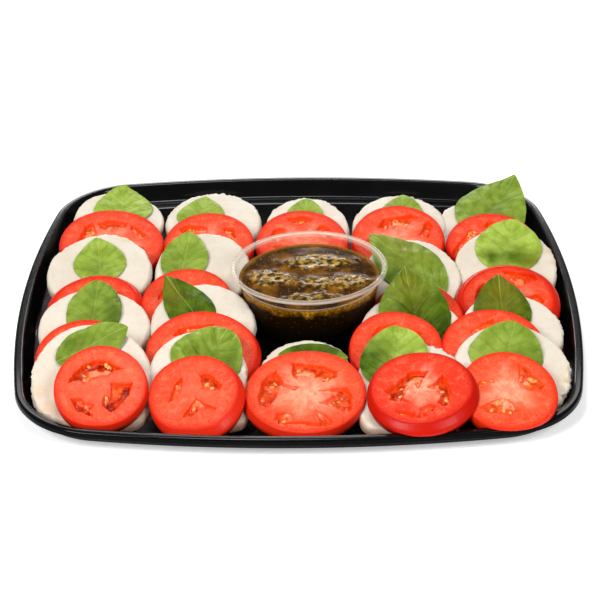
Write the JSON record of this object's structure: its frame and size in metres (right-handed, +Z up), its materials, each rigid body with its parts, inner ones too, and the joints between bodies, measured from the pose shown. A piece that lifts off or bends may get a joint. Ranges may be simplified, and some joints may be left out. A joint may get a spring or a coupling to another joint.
{
  "type": "caprese salad",
  "caption": "Caprese salad platter: shingled slices of mozzarella, tomato and basil round a clear tub of herb dressing, in a shallow black tray.",
  "frame": {"origin": "centre of the tray's flat base, on the surface it stands on", "axes": "+Z up, +X to the right along the longer side, +Y to the back; the servings lean up towards +Y"},
  "size_m": [0.406, 0.375, 0.0493],
  "materials": {
    "tray": "glossy black vacuum-formed plastic",
    "tub": "clear thin plastic with a frosted rolled rim",
    "dressing": "glossy dark brown vinaigrette with olive-gold chopped herbs",
    "mozzarella": "moist creamy white cheese with a soft sheen",
    "tomato": "wet coral-red flesh with darker gel and a glossy red skin",
    "basil": "glossy yellow-green to mid-green leaf with pale veins"
  },
  "bodies": {
    "root": {"tray": "tray", "tub": "tub", "dressing": "dressing", "mozzarella_c1_r1": "mozzarella", "mozzarella_c1_r2": "mozzarella", "mozzarella_c1_r3": "mozzarella", "mozzarella_c1_r4": "mozzarella", "mozzarella_c2_r1": "mozzarella", "mozzarella_c2_r2": "mozzarella", "mozzarella_c2_r3": "mozzarella", "mozzarella_c2_r4": "mozzarella", "mozzarella_c3_r1": "mozzarella", "mozzarella_c3_r4": "mozzarella", "mozzarella_c4_r1": "mozzarella", "mozzarella_c4_r2": "mozzarella", "mozzarella_c4_r3": "mozzarella", "mozzarella_c4_r4": "mozzarella", "mozzarella_c5_r1": "mozzarella", "mozzarella_c5_r2": "mozzarella", "mozzarella_c5_r3": "mozzarella", "mozzarella_c5_r4": "mozzarella", "tomato_c1_r1": "tomato", "tomato_c1_r2": "tomato", "tomato_c1_r3": "tomato", "tomato_c1_r4": "tomato", "tomato_c2_r1": "tomato", "tomato_c2_r2": "tomato", "tomato_c2_r3": "tomato", "tomato_c2_r4": "tomato", "tomato_c3_r1": "tomato", "tomato_c3_r4": "tomato", "tomato_c4_r1": "tomato", "tomato_c4_r2": "tomato", "tomato_c4_r3": "tomato", "tomato_c4_r4": "tomato", "tomato_c5_r1": "tomato", "tomato_c5_r2": "tomato", "tomato_c5_r3": "tomato", "tomato_c5_r4": "tomato", "basil_c1_r1": "basil", "basil_c1_r2": "basil", "basil_c1_r3": "basil", "basil_c1_r4": "basil", "basil_c2_r1": "basil", "basil_c2_r2": "basil", "basil_c2_r3": "basil", "basil_c2_r4": "basil", "basil_c3_r1": "basil", "basil_c3_r4": "basil", "basil_c4_r1": "basil", "basil_c4_r2": "basil", "basil_c4_r3": "basil", "basil_c4_r4": "basil", "basil_c5_r1": "basil", "basil_c5_r2": "basil", "basil_c5_r3": "basil", "basil_c5_r4": "basil"}
  },
  "joints": []
}
